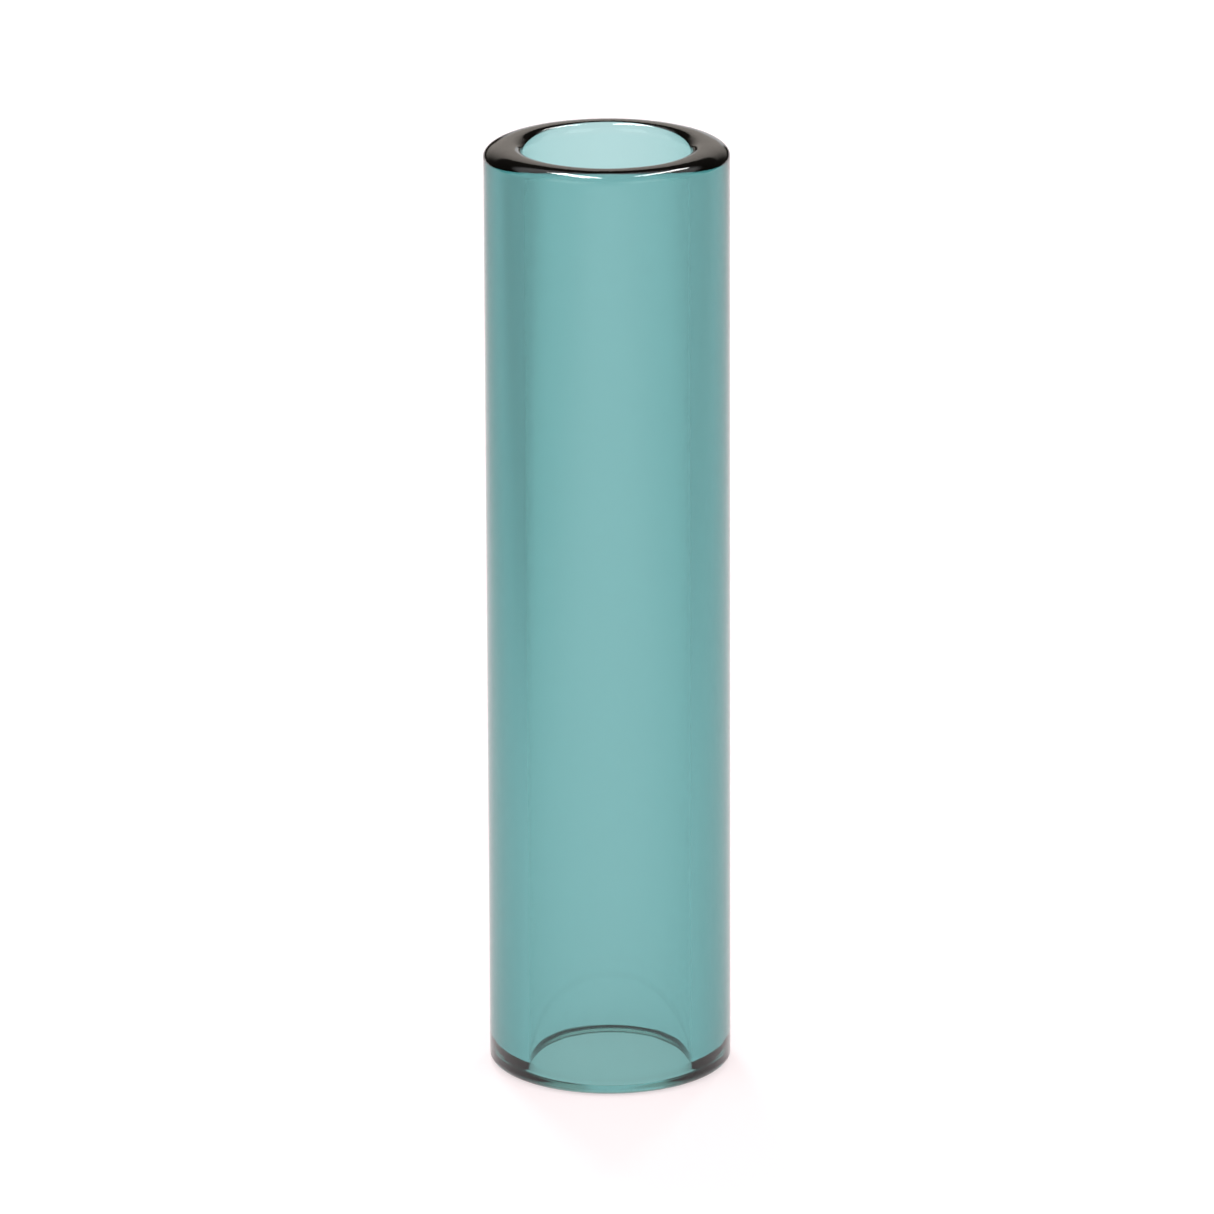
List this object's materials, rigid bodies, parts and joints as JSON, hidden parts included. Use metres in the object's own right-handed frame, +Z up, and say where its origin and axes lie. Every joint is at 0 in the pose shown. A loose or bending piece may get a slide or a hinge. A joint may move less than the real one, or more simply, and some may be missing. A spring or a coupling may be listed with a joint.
{
  "type": "guitar slide",
  "caption": "Straight open-ended tube of tinted glass with fire-polished lips, worn on a finger to slide along guitar strings.",
  "frame": {"origin": "centre of the tube's lower end, on the surface it stands on", "axes": "+Z up along the tube's axis; X and Y are alike, because the tube is round"},
  "size_m": [0.023, 0.023, 0.09],
  "materials": {
    "tinted_glass": "clear, smooth, tinted blue-green through its thickness"
  },
  "bodies": {
    "root": {"glass_tube": "tinted_glass"}
  },
  "joints": []
}
